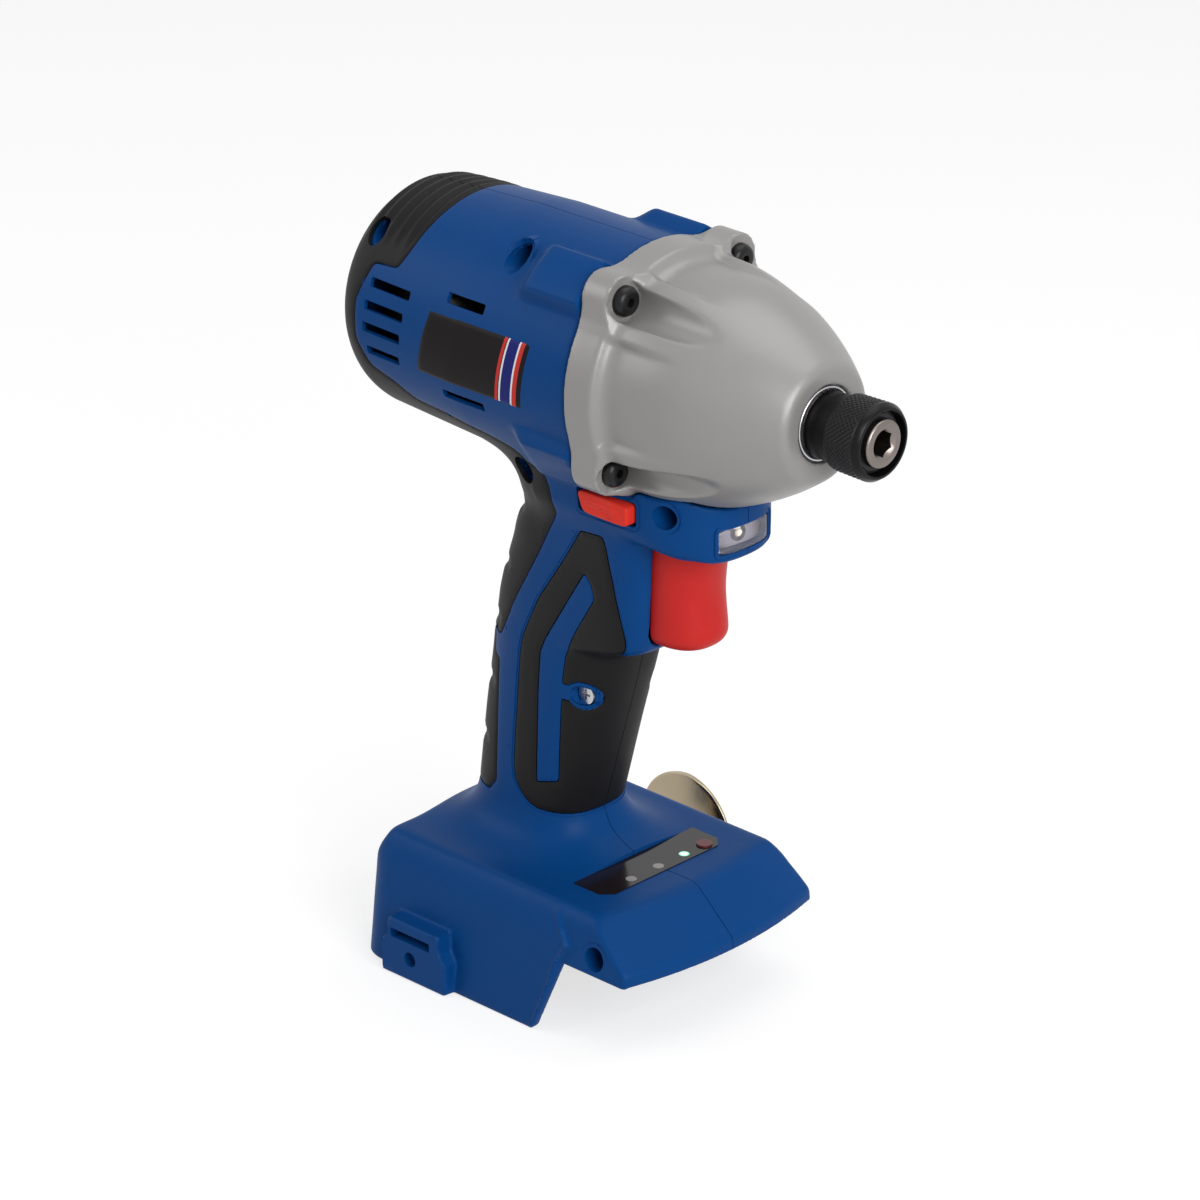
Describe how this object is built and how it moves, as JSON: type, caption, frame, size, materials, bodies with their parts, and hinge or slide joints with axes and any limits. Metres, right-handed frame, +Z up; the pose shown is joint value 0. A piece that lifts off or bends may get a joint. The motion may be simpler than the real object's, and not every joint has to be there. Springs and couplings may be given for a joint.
{
  "type": "impact driver",
  "caption": "Cordless impact driver, bare tool: two-part plastic body with soft grips, cast nose with hex chuck, trigger, direction selector and belt hook.",
  "frame": {"origin": "on the base of the foot, on the parting plane, 40 mm behind the plane where the housing meets the hammer case", "axes": "+X along the spindle towards the nose, +Y to the tool's left, +Z up"},
  "size_m": [0.1684, 0.1108, 0.2161],
  "materials": {
    "blue_plastic": "satin moulded",
    "soft_grip": "soft matt",
    "cast_case": "pearly cast",
    "bright_steel": "ground",
    "dark_steel": "blackened",
    "black_plastic": "matt",
    "red_plastic": "satin",
    "orange_plastic": "satin",
    "dark_red_plastic": "satin",
    "bronze": "plain",
    "copper": "plain",
    "magnet": "matt",
    "carbon": "matt",
    "clear_lens": "clear",
    "smoky_panel": "gloss",
    "circuit_board": "satin",
    "label": "satin sticker with plain stripes",
    "nickel_steel": "warm nickel"
  },
  "bodies": {
    "housing": {"housing_right": "blue_plastic", "housing_left": "blue_plastic", "rear_grip_right": "soft_grip", "rear_grip_left": "soft_grip", "lower_grip_right": "soft_grip", "lower_grip_left": "soft_grip", "palm_pad_right": "soft_grip", "palm_pad_left": "soft_grip", "hammer_case": "cast_case", "case_screws": "dark_steel", "nose_ring": "bright_steel", "anvil_bush": "bronze", "anvil_washer": "dark_steel", "ring_gear": "bright_steel", "gear_plate": "black_plastic", "spindle_bearing": "bright_steel", "motor_can": "bright_steel", "field_magnets": "magnet", "front_bearing": "bright_steel", "rear_bearing": "bright_steel", "brush_holder": "black_plastic", "carbon_brushes": "carbon", "trigger_spring": "bright_steel", "switch_body": "black_plastic", "led_lens": "clear_lens", "led_board": "circuit_board", "side_label": "label", "indicator_panel": "smoky_panel", "indicator_board": "circuit_board", "terminal_block": "black_plastic", "terminal_blades": "copper", "belt_hook": "nickel_steel", "hook_screw": "dark_steel", "hook_inserts": "bronze", "housing_screws": "bright_steel"},
    "rotor": {"armature_core": "bright_steel", "windings": "copper", "armature_shaft": "bright_steel", "commutator": "copper", "motor_pinion": "bright_steel", "motor_fan": "black_plastic"},
    "carrier": {"spindle": "bright_steel", "planet_pins": "bright_steel", "cam_balls": "bright_steel", "thrust_washer": "bright_steel", "hammer_spring": "bright_steel"},
    "planet_1": {"planet_gear_1": "bright_steel"},
    "planet_2": {"planet_gear_2": "bright_steel"},
    "planet_3": {"planet_gear_3": "bright_steel"},
    "hammer": {"hammer": "bright_steel"},
    "chuck": {"anvil": "bright_steel", "detent_balls": "bright_steel", "sleeve_spring": "bright_steel", "sleeve_washer": "dark_steel", "sleeve_circlip": "bright_steel"},
    "sleeve": {"chuck_sleeve": "dark_steel"},
    "trigger": {"trigger": "red_plastic", "trigger_plunger": "black_plastic"},
    "selector": {"direction_selector": "orange_plastic"},
    "button": {"indicator_button": "dark_red_plastic"}
  },
  "joints": [
    {"name": "rotor_spin", "type": "hinge", "parent": "housing", "child": "rotor", "pos_m": [0.04, 0, 0.1815], "axis": [1, 0, 0], "continuous": true},
    {"name": "carrier_spin", "type": "hinge", "parent": "housing", "child": "carrier", "pos_m": [0.04, 0, 0.1815], "axis": [1, 0, 0], "continuous": true},
    {"name": "chuck_spin", "type": "hinge", "parent": "housing", "child": "chuck", "pos_m": [0.04, 0, 0.1815], "axis": [1, 0, 0], "continuous": true},
    {"name": "planet_1_spin", "type": "hinge", "parent": "carrier", "child": "planet_1", "pos_m": [0.0264, 0.012, 0.1815], "axis": [1, 0, 0], "continuous": true},
    {"name": "planet_2_spin", "type": "hinge", "parent": "carrier", "child": "planet_2", "pos_m": [0.0264, -0.006, 0.19189], "axis": [1, 0, 0], "continuous": true},
    {"name": "planet_3_spin", "type": "hinge", "parent": "carrier", "child": "planet_3", "pos_m": [0.0264, -0.006, 0.17111], "axis": [1, 0, 0], "continuous": true},
    {"name": "hammer_retract", "type": "slide", "parent": "carrier", "child": "hammer", "axis": [-1, 0, 0], "range_m": [0, 0.008], "stiffness_N_per_m": 6000, "springref_m": -0.01, "deforming": ["hammer_spring"]},
    {"name": "sleeve_pull", "type": "slide", "parent": "chuck", "child": "sleeve", "axis": [1, 0, 0], "range_m": [0, 0.005], "stiffness_N_per_m": 900, "springref_m": -0.004, "deforming": ["sleeve_spring"]},
    {"name": "trigger_pull", "type": "slide", "parent": "housing", "child": "trigger", "axis": [-1, 0, 0], "range_m": [0, 0.008], "stiffness_N_per_m": 700, "springref_m": -0.004, "deforming": ["trigger_spring"]},
    {"name": "selector_shift", "type": "slide", "parent": "housing", "child": "selector", "axis": [0, 1, 0], "range_m": [-0.003, 0.003]},
    {"name": "button_press", "type": "slide", "parent": "housing", "child": "button", "axis": [0, 0, -1], "range_m": [0, 0.0006], "stiffness_N_per_m": 800, "springref_m": -0.001}
  ],
  "couplings": [
    {"joint": "carrier_spin", "follows": "rotor_spin", "ratio": 0.15},
    {"joint": "chuck_spin", "follows": "rotor_spin", "ratio": 0.15},
    {"joint": "planet_1_spin", "follows": "rotor_spin", "ratio": -0.36429},
    {"joint": "planet_2_spin", "follows": "rotor_spin", "ratio": -0.36429},
    {"joint": "planet_3_spin", "follows": "rotor_spin", "ratio": -0.36429}
  ]
}
